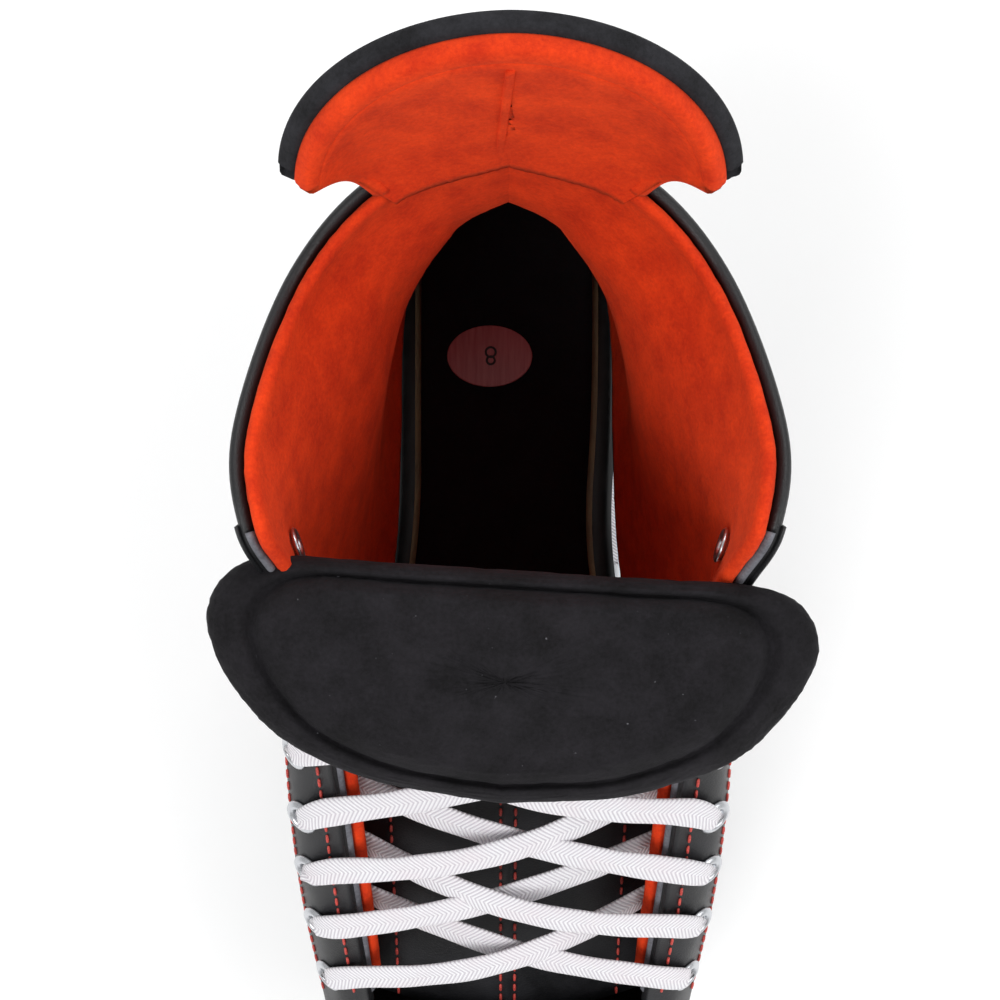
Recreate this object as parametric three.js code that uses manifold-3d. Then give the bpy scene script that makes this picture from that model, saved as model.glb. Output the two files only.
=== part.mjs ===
// Right hockey skate. Millimetres, toe towards -Y, medial side +X, runner's bottom at z = 0.
import * as THREE from 'three';
import { mergeVertices } from 'three/addons/utils/BufferGeometryUtils.js';
import Module from 'manifold-3d';

const wasm = await Module();
wasm.setup();

const bootLength = 240;
const bootHeight = 145;
const runnerThickness = 3;
const runnerHeight = 30;
const runnerFlatHalf = 60;
const holderWall = 10;
const towerSpread = 24;
const shellThickness = 3;
const linerThickness = 2.5;
const layerGap = 0.8;
const backstayGap = 2.2;
const anklePad = 11;
const soleThickness = 5;
const boardThickness = 2;
const footbedThickness = 3;
const toeLength = 53;
const toeHalfWidth = 50;
const toeHeight = 51;
const eyeletCount = 8;
const eyeletInset = 11;
const eyeletBarrel = 3;
const eyeletBore = 2.1;
const eyeletFlange = 4.8;
const laceWidth = 8;
const laceThickness = 1.6;
const laceLift = 3.8;
const laceCrossing = 4;
const laceTurn = 4.7;
const flapThickness = 8;
const flapHalfWidth = 62;
const foldHalfWidth = 41;
const tongueSink = 9;
const tongueThickness = 4;
const guardThickness = 2.4;
const guardLining = 5;
const guardRise = 2.2;
const guardHalfWidth = 43;
const guardFootShare = 0.1;
const guardLean = 4;
const guardHook = 20;
const guardHeight = 50;
const guardCornerDrop = 28;
const boltRadius = 2.5;
const fit = 0.4;
const soleGap = 1.8;
const boardInset = 9;
const footbedInset = 11;
const heelRound = 41;
const hankHeight = 4.8;
const hankRun = 60;
const hankTurn = 12;
const hankPlace = 26;
const agletRadius = 1.8;

const mix = THREE.MathUtils.lerp;
const smooth = THREE.MathUtils.smoothstep;

const group = new THREE.Group();

function addMesh(name, geometry, color, roughness, metalness = 0) {
  const material = new THREE.MeshStandardMaterial({ color, roughness, metalness });
  const mesh = new THREE.Mesh(geometry, material);
  mesh.name = name;
  group.add(mesh);
  return mesh;
}

// Height of the shell's lower edge above the ice at a place along the boot.
function baseHeight(y) {
  return mix(73, 79, THREE.MathUtils.clamp((y + 96) / 194, 0, 1));
}

const toeJoint = -96;
const drawnLength = 240;
const drawnHeight = 145;

// The shell is drawn at one size, then stretched from the toe joint and the sole to the boot's own size.
function stretched([x, y, z]) {
  const place = toeJoint + (y - toeJoint) * bootLength / drawnLength;
  return [x, place, baseHeight(place) + (z - baseHeight(y)) * bootHeight / drawnHeight];
}

// Outer shell of the boot: five curves from sole to top edge, each from the toe joint to the back centre.
const shellLevels = [
  [[45, -96, 73], [50, -62, 73], [45, -32, 74], [40, -4, 75], [37, 16, 76], [35, 34, 77], [34, 60, 78],
    [33, 98, 79], [25, 130, 79], [0, 144, 79]],
  [[49, -97, 92], [54, -62, 98], [51, -32, 100], [46, -4, 102], [43, 16, 102], [41, 34, 102], [40, 60, 102],
    [38, 98, 102], [28, 134, 102], [0, 151, 102]],
  [[48, -96, 107], [54, -62, 120], [54, -32, 134], [51, -4, 142], [48, 16, 146], [46, 32, 148], [43, 58, 148],
    [38, 94, 146], [24, 122, 146], [0, 137, 146]],
  [[43, -95, 117], [49, -62, 137], [51, -32, 157], [51, -2, 172], [51, 20, 186], [52, 34, 196], [50, 58, 186],
    [42, 90, 180], [24, 110, 180], [0, 119, 180]],
  [[36, -92, 121], [39, -60, 145], [41, -28, 168], [43, -3, 188], [48, 16, 208], [53, 29, 224], [55, 50, 220],
    [46, 84, 206], [27, 104, 210], [0, 112, 214]],
].map((level) => level.map(stretched));
const topEdge = shellLevels[4];
const heelBack = shellLevels[0][9][1];
const levelCurves = shellLevels.map(
  (level) => new THREE.CatmullRomCurve3(level.map((p) => new THREE.Vector3(...p)), false, 'catmullrom', 0.5));

function shellPoint(u, v) {
  const rungs = levelCurves.map((curve) => curve.getPoint(u));
  return new THREE.CatmullRomCurve3(rungs, false, 'catmullrom', 0.5).getPoint(v);
}

// Outward normal of the shell, from its slopes along both directions.
function shellNormal(u, v) {
  const step = 0.004;
  const along = shellPoint(Math.min(u + step, 1), v).sub(shellPoint(Math.max(u - step, 0), v));
  const up = shellPoint(u, Math.min(v + step, 1)).sub(shellPoint(u, Math.max(v - step, 0)));
  return along.cross(up).normalize();
}

function shellOffset(side, u, v, depth) {
  const p = shellPoint(u, v).addScaledVector(shellNormal(u, v), -depth);
  return new THREE.Vector3(p.x * side, p.y, p.z);
}

// Closed solid from a list of rings that all have the same number of points; the ends are capped.
function loft(rings) {
  const count = rings[0].length;
  const positions = rings.flat().flatMap((p) => [p.x, p.y, p.z]);
  const index = [];
  for (let i = 0; i + 1 < rings.length; i += 1) {
    for (let j = 0; j < count; j += 1) {
      const a = i * count + j;
      const b = i * count + (j + 1) % count;
      index.push(a, b, a + count, b, b + count, a + count);
    }
  }
  for (const ringStart of [0, (rings.length - 1) * count]) {
    const ring = rings[ringStart / count];
    const centre = ring.reduce((sum, p) => sum.add(p), new THREE.Vector3()).multiplyScalar(1 / count);
    positions.push(centre.x, centre.y, centre.z);
    const middle = positions.length / 3 - 1;
    for (let j = 0; j < count; j += 1) {
      const a = ringStart + j;
      const b = ringStart + (j + 1) % count;
      index.push(...(ringStart === 0 ? [b, a, middle] : [a, b, middle]));
    }
  }
  return outward(positions, index);
}

// Closed solid between two grids of points, the second behind the first.
function slab(front, back) {
  const rows = front.length;
  const columns = front[0].length;
  const positions = [...front.flat(), ...back.flat()].flatMap((p) => [p.x, p.y, p.z]);
  const index = [];
  const shift = rows * columns;
  const quad = (a, b, c, d) => index.push(a, b, c, a, c, d);
  for (let i = 0; i + 1 < rows; i += 1) {
    for (let j = 0; j + 1 < columns; j += 1) {
      const a = i * columns + j;
      quad(a, a + 1, a + columns + 1, a + columns);
      quad(shift + a, shift + a + columns, shift + a + columns + 1, shift + a + 1);
    }
  }
  for (let j = 0; j + 1 < columns; j += 1) {
    const last = (rows - 1) * columns + j;
    quad(j, shift + j, shift + j + 1, j + 1);
    quad(last, last + 1, shift + last + 1, shift + last);
  }
  for (let i = 0; i + 1 < rows; i += 1) {
    const a = i * columns;
    const b = a + columns - 1;
    quad(a, a + columns, shift + a + columns, shift + a);
    quad(b, shift + b, shift + b + columns, b + columns);
  }
  return outward(positions, index);
}

// Turns the faces outward if the enclosed volume comes out negative.
function outward(positions, index) {
  let volume = 0;
  const vertex = (i) => new THREE.Vector3(positions[3 * i], positions[3 * i + 1], positions[3 * i + 2]);
  for (let i = 0; i < index.length; i += 3) {
    volume += vertex(index[i]).dot(vertex(index[i + 1]).cross(vertex(index[i + 2])));
  }
  const facing = volume < 0 ? index.slice().reverse() : index;
  const geometry = new THREE.BufferGeometry();
  geometry.setAttribute('position', new THREE.Float32BufferAttribute(positions, 3));
  geometry.setIndex(facing);
  return geometry;
}

function toSolid(geometry) {
  const bare = geometry.clone();
  bare.deleteAttribute('normal');
  bare.deleteAttribute('uv');
  const merged = mergeVertices(bare, 1e-3);
  return new wasm.Manifold(new wasm.Mesh({
    numProp: 3,
    vertProperties: new Float32Array(merged.attributes.position.array),
    triVerts: new Uint32Array(merged.index.array),
  }));
}

function fromSolid(solid) {
  const mesh = solid.getMesh();
  const geometry = new THREE.BufferGeometry();
  geometry.setAttribute('position', new THREE.BufferAttribute(mesh.vertProperties, 3));
  geometry.setIndex(new THREE.BufferAttribute(mesh.triVerts, 1));
  return geometry;
}

function grid(rows, columns, place) {
  return Array.from({ length: rows + 1 }, (_, i) =>
    Array.from({ length: columns + 1 }, (_, j) => place(i / rows, j / columns)));
}

// Ankle padding: thick round the heel and ankle, nothing at the sole, the facing or the collar's edge.
function padDepth(u, v) {
  const along = smooth(u, 0.5, 0.86) * (1 - 0.35 * smooth(u, 0.85, 1));
  const up = smooth(v, 0.22, 0.6) * (1 - smooth(v, 0.68, 1));
  return anklePad * along * up;
}

const backEnd = 0.992;

// Eyelet seats at equal spacing along the facing, a fixed distance in from its edge.
const facingEdge = Array.from({ length: 201 }, (_, i) => {
  const u = mix(0.02, 0.53, i / 200);
  return { u, p: shellPoint(u, 1) };
});
const facingLength = facingEdge.slice(1).reduce((sum, e, i) => sum + e.p.distanceTo(facingEdge[i].p), 0);

function eyeletSeat(k) {
  const wanted = facingLength * (0.05 + 0.9 * k / (eyeletCount - 1));
  let run = 0;
  let at = 0;
  while (run < wanted && at < 199) {
    run += facingEdge[at + 1].p.distanceTo(facingEdge[at].p);
    at += 1;
  }
  const { u, p } = facingEdge[at];
  let v = 1;
  while (v > 0.5 && shellPoint(u, v).distanceTo(p) < eyeletInset) v -= 0.005;
  return { u, v, place: shellPoint(u, v), normal: shellNormal(u, v) };
}
const seats = Array.from({ length: eyeletCount }, (_, k) => eyeletSeat(k));

function orient(geometry, side, seat, shift = 0) {
  const normal = new THREE.Vector3(seat.normal.x * side, seat.normal.y, seat.normal.z);
  const place = new THREE.Vector3(seat.place.x * side, seat.place.y, seat.place.z);
  const turn = new THREE.Quaternion().setFromUnitVectors(new THREE.Vector3(0, 1, 0), normal);
  geometry.applyQuaternion(turn);
  geometry.translate(...place.addScaledVector(normal, shift).toArray());
  return geometry;
}

function withEyeletHoles(geometry, side) {
  let solid = toSolid(geometry);
  for (const seat of seats) {
    const drill = new THREE.CylinderGeometry(eyeletBarrel + fit, eyeletBarrel + fit, 26, 8);
    solid = solid.subtract(toSolid(orient(drill, side, seat)));
  }
  return fromSolid(solid);
}

function quarter(side) {
  const layer = (depth) => grid(26, 8, (i, j) => shellOffset(side, mix(0, backEnd, i), mix(0, 1, j), depth));
  return withEyeletHoles(slab(layer(0), layer(shellThickness)), side);
}

const linerStart = shellThickness + layerGap;

function liner(side) {
  const layer = (extra) => grid(22, 8, (i, j) => {
    const u = mix(0.02, 0.97, i);
    const v = mix(0.12, 0.99, j);
    return shellOffset(side, u, v, linerStart + padDepth(u, v) + extra);
  });
  return withEyeletHoles(slab(layer(0), layer(linerThickness)), side);
}

function ankleFoam(side) {
  const layer = (inner) => grid(8, 5, (i, j) => {
    const u = mix(0.68, 0.95, i);
    const v = mix(0.45, 0.84, j);
    const depth = inner ? linerStart + padDepth(u, v) - 2 * layerGap : shellThickness + layerGap;
    return shellOffset(side, u, v, depth);
  });
  return slab(layer(false), layer(true));
}

// Half width of the footprint, pinched at the arch, with round toe and heel ends.
function footHalf(y, side) {
  const base = mix(49, 33, smooth(y, -80, 50));
  const arch = side > 0 ? 3 * Math.exp(-(((y - 20) / 35) ** 2)) : 0;
  const toe = Math.sqrt(Math.max(0, 1 - (Math.max(0, toeJoint - y) / toeLength) ** 2.3));
  const heel = Math.sqrt(Math.max(0, 1 - (Math.max(0, y - heelBack - 1 + heelRound) / heelRound) ** 2));
  return (base - arch) * toe * heel;
}

function plate(inset, top, thickness) {
  const from = toeJoint - toeLength + inset;
  const to = heelBack - 1 - inset;
  const rings = Array.from({ length: 21 }, (_, i) => {
    const y = mix(from, to, 0.5 - 0.5 * Math.cos(Math.PI * i / 20));
    const z = baseHeight(y) + top;
    const left = -Math.max(1.5, footHalf(y, -1) - inset);
    const right = Math.max(1.5, footHalf(y, 1) - inset);
    return [[left, z - thickness], [right, z - thickness], [right, z], [left, z]]
      .map(([x, h]) => new THREE.Vector3(x, y, h));
  });
  return loft(rings);
}

// Half dome over the toes, with full sides.
function toeCap() {
  const layer = (inset) => grid(18, 7, (i, j) => {
    const turn = Math.PI * i;
    const rise = Math.PI / 2 * 0.99 * j;
    const flat = Math.cos(rise) ** 0.6;
    const x = (toeHalfWidth - inset) * Math.sign(Math.cos(turn)) * Math.abs(Math.cos(turn)) ** 0.85 * flat;
    const y = toeJoint - 2 - (toeLength - inset) * Math.sin(turn) ** 0.9 * flat;
    return new THREE.Vector3(x, y, baseHeight(toeJoint) + (toeHeight - inset) * Math.sin(rise) ** 0.9);
  });
  return slab(layer(0), layer(shellThickness));
}

function extrudeSideways(shape, thickness) {
  const settings = { depth: thickness, bevelEnabled: false, curveSegments: 10 };
  const geometry = new THREE.ExtrudeGeometry(shape, settings);
  geometry.translate(0, 0, -thickness / 2);
  geometry.rotateX(Math.PI / 2);
  geometry.rotateZ(Math.PI / 2);
  return geometry;
}

// Side outline of the steel in (y, z), flat in the middle and rising in a curve to both ends.
function runnerOutline() {
  const shape = new THREE.Shape();
  shape.moveTo(-runnerFlatHalf, 0);
  shape.lineTo(runnerFlatHalf, 0);
  shape.quadraticCurveTo(120, 1, 139, 12);
  shape.quadraticCurveTo(144, 20, 136, runnerHeight);
  shape.lineTo(-128, runnerHeight);
  shape.quadraticCurveTo(-148, 26, -146, 14);
  shape.quadraticCurveTo(-128, 1, -runnerFlatHalf, 0);
  return shape;
}

const boltPlaces = [-78, 96];
const boltHeight = 24;

function crossCylinder(radius, length, y, x = 0) {
  const rod = new THREE.CylinderGeometry(radius, radius, length, 20);
  rod.rotateZ(Math.PI / 2);
  rod.translate(x, y, boltHeight);
  return rod;
}

function runner() {
  let solid = toSolid(extrudeSideways(runnerOutline(), runnerThickness));
  for (const y of boltPlaces) solid = solid.subtract(toSolid(crossCylinder(boltRadius + fit, 20, y)));
  return fromSolid(solid);
}

// A tower widens from the thin blade grip to the flange under the sole.
function tower(from, to, halfTop) {
  const levels = [0, 0.25, 0.5, 0.75, 0.93, 1];
  const rings = levels.map((k) => {
    const half = mix(holderWall / 2, halfTop, k ** 2.2);
    const spread = towerSpread * k ** 2.4;
    const y0 = from - spread;
    const y1 = to + spread;
    const middle = (y0 + y1) / 2;
    return Array.from({ length: 20 }, (_, i) => {
      const turn = 2 * Math.PI * i / 20;
      const cos = Math.cos(turn);
      const sin = Math.sin(turn);
      const y = middle + (y1 - y0) / 2 * Math.sign(cos) * Math.abs(cos) ** 0.6;
      const x = half * Math.sign(sin) * Math.abs(sin) ** 0.6;
      return new THREE.Vector3(x, y, mix(30, baseHeight(y) - soleThickness - soleGap - 2 * fit, k));
    });
  });
  return loft(rings);
}

function holder() {
  const bar = new THREE.Shape();
  bar.moveTo(-132, 18);
  bar.lineTo(128, 18);
  bar.quadraticCurveTo(136, 26, 130, 38);
  bar.lineTo(58, 40);
  bar.quadraticCurveTo(0, 34, -40, 40);
  bar.lineTo(-124, 38);
  bar.quadraticCurveTo(-136, 30, -132, 18);
  let solid = toSolid(extrudeSideways(bar, holderWall));
  solid = solid.add(toSolid(tower(-104, -60, 35)));
  solid = solid.add(toSolid(tower(80, 112, 26)));
  const slot = new THREE.BoxGeometry(runnerThickness + 2 * fit, 310, runnerHeight + fit);
  slot.translate(0, 0, (runnerHeight + fit) / 2);
  solid = solid.subtract(toSolid(slot));
  for (const y of boltPlaces) solid = solid.subtract(toSolid(crossCylinder(boltRadius + fit, 40, y)));
  return fromSolid(solid);
}

function bolt(y) {
  const shank = toSolid(crossCylinder(boltRadius, holderWall + 8, y, 3));
  const head = toSolid(crossCylinder(boltRadius + 2, 2.5, y, -holderWall / 2 - 1.7));
  const reach = toSolid(crossCylinder(boltRadius, holderWall + 4, y, -1));
  return fromSolid(shank.add(head).add(reach));
}

function nut(y) {
  const body = new THREE.CylinderGeometry(4.6, 4.6, 3, 6);
  body.rotateZ(Math.PI / 2);
  body.translate(holderWall / 2 + 2, y, boltHeight);
  return fromSolid(toSolid(body).subtract(toSolid(crossCylinder(boltRadius + fit, 20, y, 8))));
}

function eyelet(side, seat) {
  const deep = -(shellThickness + layerGap + linerThickness) - 0.8;
  const profile = [[eyeletBore, deep], [eyeletBarrel, deep], [eyeletBarrel, 0.6], [eyeletFlange, 0.6],
    [eyeletFlange, 1.3], [eyeletBore, 1.3], [eyeletBore, deep]];
  return orient(new THREE.LatheGeometry(profile.map(([r, h]) => new THREE.Vector2(r, h)), 8), side, seat);
}

// Flat lace section swept along a route of points; up gives the direction of its thin side at each point.
function ribbon(route, ups, width = laceWidth, thickness = laceThickness) {
  const rings = route.map((p, i) => {
    const ahead = route[Math.min(i + 1, route.length - 1)].clone().sub(route[Math.max(i - 1, 0)]).normalize();
    const across = new THREE.Vector3().crossVectors(ahead, ups[i]).normalize();
    const thin = new THREE.Vector3().crossVectors(across, ahead).normalize();
    return Array.from({ length: 8 }, (_, k) => {
      const turn = 2 * Math.PI * (k + 0.5) / 8;
      const wide = width / 2 * Math.cos(turn) / Math.cos(Math.PI / 8);
      const high = thickness / 2 * Math.sin(turn) / Math.sin(3 * Math.PI / 8);
      return p.clone().addScaledVector(across, wide).addScaledVector(thin, high);
    });
  });
  return loft(rings);
}

// Place above the shell by an eyelet: v runs across the facing, slide along it.
function laceSupport(side, seat, v, lift, slide = 0) {
  const out = shellNormal(seat.u, v);
  const along = shellPoint(seat.u + 0.01, seat.v).sub(shellPoint(seat.u - 0.01, seat.v)).normalize();
  const place = shellPoint(seat.u, v).addScaledVector(out, lift).addScaledVector(along, slide);
  return {
    up: new THREE.Vector3(out.x * side, out.y, out.z),
    place: new THREE.Vector3(place.x * side, place.y, place.z),
  };
}

// Half turn of the lace above an eyelet, from the row below to the row above.
function laceUturn(side, seat, lift) {
  const reach = laceTurn / shellPoint(seat.u, seat.v).distanceTo(shellPoint(seat.u, seat.v - 0.1)) * 0.1;
  return [0, 0.25, 0.5, 0.75, 1].map((t) => {
    const turn = Math.PI * t;
    return laceSupport(side, seat, seat.v - reach * Math.sin(turn) * 0.9, lift, -laceTurn * Math.cos(turn));
  });
}

// One half of the lace zigzags up the laced rows; the two halves cross in the middle, one over the other.
function laceHalf(startSide, lift) {
  const laced = seats.slice(0, eyeletCount - 2);
  const last = laced.length - 1;
  const height = laceLift + lift;
  const middle = new THREE.Vector3(0, -0.55, 0.83);
  const route = [];
  laced.forEach((seat, k) => {
    const side = k % 2 === 0 ? startSide : -startSide;
    const inner = k > 0 && k < last;
    if (k > 0) route.push(laceSupport(side, seat, 0.99, height, inner ? -laceTurn : 0));
    if (inner) route.push(...laceUturn(side, seat, height));
    else route.push(laceSupport(side, seat, seat.v, height + 1));
    if (k === last) return;
    const leave = laceSupport(side, seat, 0.99, height, inner ? laceTurn : 0);
    const arrive = laceSupport(-side, laced[k + 1], 0.99, height, k + 1 < last ? -laceTurn : 0);
    route.push(leave);
    for (const t of [0.3, 0.7]) {
      const place = leave.place.clone().lerp(arrive.place, t).addScaledVector(middle, 1.5);
      route.push({ up: middle, place });
    }
  });
  return ribbon(route.map((stop) => stop.place), route.map((stop) => stop.up));
}

// The tongue's leather part lies between the facings.
function tongueLower() {
  const spine = new THREE.CatmullRomCurve3(
    topEdge.slice(0, 5).map(([, y, z]) => new THREE.Vector3(0, y, z - tongueSink)));
  const layer = (drop) => grid(8, 4, (i, j) => {
    const p = spine.getPoint(i);
    const across = 2 * j - 1;
    return new THREE.Vector3(across * mix(28, 33, i), p.y, p.z - 4 * across ** 2 - drop);
  });
  return slab(layer(0), layer(tongueThickness));
}

const foldPlace = { y: topEdge[4][1] + 1, z: topEdge[4][2] + 9 };

// Half width of the folded flap from the fold to its round front corners.
function flapHalf(t) {
  const corner = Math.sqrt(Math.max(0, 1 - (Math.max(0, t - 0.6) / 0.42) ** 2));
  return mix(foldHalfWidth, flapHalfWidth, smooth(t, 0, 0.45)) * mix(0.62, 1, corner);
}

function tongueFlap(lift, thickness, widthShare, from, to) {
  const spine = new THREE.CatmullRomCurve3([[0, 3], [-13, 6], [-29, 0], [-44, -12]]
    .map(([y, z]) => new THREE.Vector3(0, foldPlace.y + y, foldPlace.z + z)));
  const layer = (drop) => grid(7, 7, (i, j) => {
    const t = mix(from, to, i);
    const p = spine.getPoint(t);
    const across = (2 * j - 1) * widthShare;
    return new THREE.Vector3(across * flapHalf(t), p.y, p.z + lift - 5 * across ** 2 - drop);
  });
  return slab(layer(0), layer(thickness));
}

// Guard behind the Achilles tendon: it stands on the collar's back edge and flares to its top corners.
function guardLayer(depth, from, to) {
  return grid(14, 7, (i, j) => {
    const turn = mix(-1, 1, i);
    const v = mix(from, to, j);
    const foot = shellOffset(turn < 0 ? -1 : 1, 1 - guardFootShare * Math.abs(turn), 1, depth);
    foot.z += guardRise;
    const bend = turn * 1.45;
    const head = new THREE.Vector3(
      (guardHalfWidth - depth * 0.8) * Math.sin(bend) / Math.sin(1.45),
      topEdge[9][1] + guardLean - depth - (guardHook - depth * 0.4) * (1 - Math.cos(bend)),
      topEdge[9][2] + guardHeight - guardCornerDrop * Math.abs(turn) ** 1.8);
    return foot.lerp(head, v);
  });
}

function backstay() {
  const layer = (depth) => grid(12, 6, (i, j) => {
    const turn = mix(-1, 1, i);
    const side = turn < 0 ? -1 : 1;
    return shellOffset(side, 1 - 0.16 * Math.abs(turn) * (1 - 0.3 * j), mix(0.04, 0.9, j), depth);
  });
  return slab(layer(-backstayGap - 2), layer(-backstayGap));
}

const black = 0x1c1c1f;
addMesh('runner', runner(), 0xb8bcc2, 0.25, 0.9);
addMesh('holder', holder(), 0xe9eaec, 0.4);
boltPlaces.forEach((y, k) => {
  const name = k === 0 ? 'front' : 'rear';
  addMesh(`${name}_runner_bolt`, bolt(y), 0x9a9da2, 0.35, 0.9);
  addMesh(`${name}_runner_nut`, nut(y), 0x9a9da2, 0.35, 0.9);
});
addMesh('outsole', plate(0, -soleGap, soleThickness), 0x17181a, 0.5);
addMesh('insole_board', plate(boardInset, boardThickness, boardThickness), 0x8a6d4a, 0.8);
const footbedTop = boardThickness + fit + footbedThickness;
addMesh('footbed', plate(footbedInset, footbedTop, footbedThickness), 0x121117, 0.9);
addMesh('toe_cap', toeCap(), 0x141416, 0.35);

const sticker = new THREE.CylinderGeometry(10, 10, 0.4, 32);
sticker.rotateX(Math.PI / 2);
sticker.scale(1.25, 0.9, 1);
sticker.translate(-5, 84, baseHeight(84) + footbedTop + fit + 0.4);
addMesh('size_sticker', sticker, 0x8f5152, 0.6);

for (const [side, name] of [[1, 'medial'], [-1, 'lateral']]) {
  addMesh(`${name}_quarter`, quarter(side), black, 0.5);
  addMesh(`${name}_liner`, liner(side), 0xee3e05, 0.9);
  addMesh(`${name}_ankle_foam`, ankleFoam(side), 0xd8d0c0, 0.9);
  seats.forEach((seat, k) => {
    addMesh(`${name}_eyelet_${k + 1}`, eyelet(side, seat), 0xc8cacd, 0.3, 0.9);
  });
}

addMesh('heel_backstay', backstay(), 0x202024, 0.45);
addMesh('tendon_guard', slab(guardLayer(0, 0, 1), guardLayer(guardThickness, 0, 1)), 0x18181a, 0.5);
addMesh('tendon_guard_lining',
  slab(guardLayer(guardThickness + fit, 0, 0.98), guardLayer(guardThickness + fit + guardLining, 0, 0.98)),
  0xd93a12, 0.95);
addMesh('tongue_lower', tongueLower(), 0x2b2b2e, 0.5);
addMesh('tongue_flap', tongueFlap(0, flapThickness, 1, 0, 1), 0x252328, 0.95);
addMesh('tongue_pad', tongueFlap(1.2 + 3, 3, 0.72, 0.06, 0.75), 0x222126, 0.95);
addMesh('lace_first_half', laceHalf(1, 0), 0xf2f1f4, 0.85);
addMesh('lace_second_half', laceHalf(-1, laceCrossing), 0xf2f1f4, 0.85);

// Free lace ends hang from the topmost laced eyelets down to the ground and end in hanks beside the runner.
const endSeat = seats[eyeletCount - 3];
const hankHalf = hankTurn + laceWidth / 2 + fit;

function freeEndRoute(side) {
  const points = [
    [endSeat.place.x + 6, endSeat.place.y + 2, endSeat.place.z - 3], [56.5, endSeat.place.y + 5, 170],
    [56.5, 22, 145], [56.5, 26, 110], [57, 29, 70], [56, 31, 34], [54.5, 32, 15], [50, 31, 5], [44, 29, 2.2]];
  return new THREE.CatmullRomCurve3(points.map(([x, y, z]) => new THREE.Vector3(x * side, y, z)));
}

for (const [side, name] of [[1, 'medial'], [-1, 'lateral']]) {
  const route = freeEndRoute(side).getSpacedPoints(22);
  const ups = route.map(({ z }) => {
    const hanging = smooth(z, 5, 40);
    return new THREE.Vector3(side * mix(0.4, 1, hanging), 0, 1 - hanging);
  });
  addMesh(`${name}_lace_end`, ribbon(route, ups), 0xf2f1f4, 0.85);
  const hank = new THREE.Shape();
  hank.moveTo(-hankHalf, -hankRun);
  hank.lineTo(-hankHalf, hankRun);
  hank.absarc(0, hankRun, hankHalf, Math.PI, 0, true);
  hank.lineTo(hankHalf, -hankRun);
  hank.absarc(0, -hankRun, hankHalf, 0, Math.PI, true);
  const hankSettings = { depth: hankHeight, bevelEnabled: false, curveSegments: 8 };
  const hankSolid = new THREE.ExtrudeGeometry(hank, hankSettings);
  hankSolid.translate(hankPlace * side, 0, fit);
  addMesh(`${name}_lace_hank`, hankSolid, 0xf2f1f4, 0.85);
  const aglet = new THREE.CylinderGeometry(agletRadius, agletRadius, 22, 12);
  aglet.translate((hankPlace + hankTurn) * side, 13, hankHeight + agletRadius + 2 * fit);
  addMesh(`${name}_lace_aglet`, aglet, 0xe8e8ea, 0.3);
}

export default group;
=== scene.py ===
import math

import bpy
import numpy as np
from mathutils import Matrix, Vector


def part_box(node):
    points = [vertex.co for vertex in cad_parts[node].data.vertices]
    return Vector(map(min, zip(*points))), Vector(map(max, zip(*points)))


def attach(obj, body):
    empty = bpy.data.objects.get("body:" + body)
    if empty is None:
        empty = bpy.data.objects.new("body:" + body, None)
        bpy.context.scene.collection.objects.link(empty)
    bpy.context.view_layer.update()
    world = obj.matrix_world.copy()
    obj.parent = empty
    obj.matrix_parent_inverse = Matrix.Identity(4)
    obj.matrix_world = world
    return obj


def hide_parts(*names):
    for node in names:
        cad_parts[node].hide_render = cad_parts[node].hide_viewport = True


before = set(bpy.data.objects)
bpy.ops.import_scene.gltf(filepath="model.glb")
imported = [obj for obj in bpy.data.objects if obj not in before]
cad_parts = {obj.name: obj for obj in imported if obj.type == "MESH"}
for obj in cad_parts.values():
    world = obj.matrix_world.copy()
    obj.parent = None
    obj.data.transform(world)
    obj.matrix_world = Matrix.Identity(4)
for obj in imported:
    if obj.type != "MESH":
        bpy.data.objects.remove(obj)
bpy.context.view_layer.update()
mm = 0.001
rng = np.random.default_rng(8)

# The camera looks almost straight down into the boot, from about 430 mm above the footbed.
viewSet = {"target": (-2, 42, 85), "distance": 430, "elevation": 87, "widthAtTarget": 290}


def makeCamera(s):
    data = bpy.data.cameras.new("camera")
    data.sensor_width = 36
    data.lens = 36 * s["distance"] / s["widthAtTarget"]
    data.clip_start = 0.01
    camera = bpy.data.objects.new("camera", data)
    angle = math.radians(s["elevation"])
    back = Vector((0, -math.cos(angle), math.sin(angle))) * s["distance"]
    camera.location = (Vector(s["target"]) + back) * mm
    camera.rotation_euler = (math.radians(90 - s["elevation"]), 0, 0)
    bpy.context.scene.collection.objects.link(camera)
    bpy.context.scene.camera = camera


makeCamera(viewSet)


# Materials

def srgb(code):
    parts = [int(code[i:i + 2], 16) / 255 for i in (1, 3, 5)]
    linear = [c / 12.92 if c <= 0.04045 else ((c + 0.055) / 1.055) ** 2.4 for c in parts]
    return (*linear, 1)


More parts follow.
